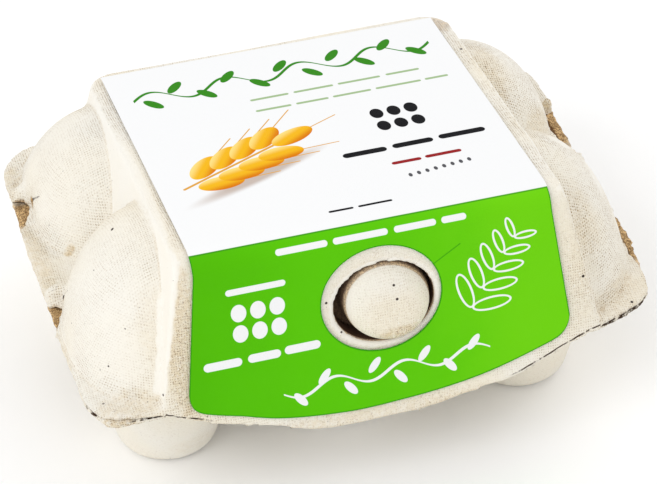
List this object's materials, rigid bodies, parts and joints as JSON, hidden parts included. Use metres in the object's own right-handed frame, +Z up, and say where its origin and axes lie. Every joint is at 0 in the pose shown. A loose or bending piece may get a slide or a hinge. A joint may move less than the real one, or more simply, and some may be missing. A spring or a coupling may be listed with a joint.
{
  "type": "egg carton",
  "caption": "Shut moulded-pulp egg box: domed lid with a sloping raised panel, thin rim, cup feet, a paper label folded over the front and an oval hole with a locking knob.",
  "frame": {"origin": "on the floor below the middle of the bounding box", "axes": "+X along the three cells of a row, +Y from the front with the knob to the hinge side, +Z up"},
  "size_m": [0.1508, 0.1168, 0.0705],
  "materials": {
    "tray_pulp": "matte moulded pulp, uncoated",
    "lid_pulp": "matte moulded pulp with a fine mesh mark, uncoated",
    "label_paper": "white top and green front, lightly coated print"
  },
  "bodies": {
    "root": {"tray": "tray_pulp", "lid": "lid_pulp", "label": "label_paper"}
  },
  "joints": []
}
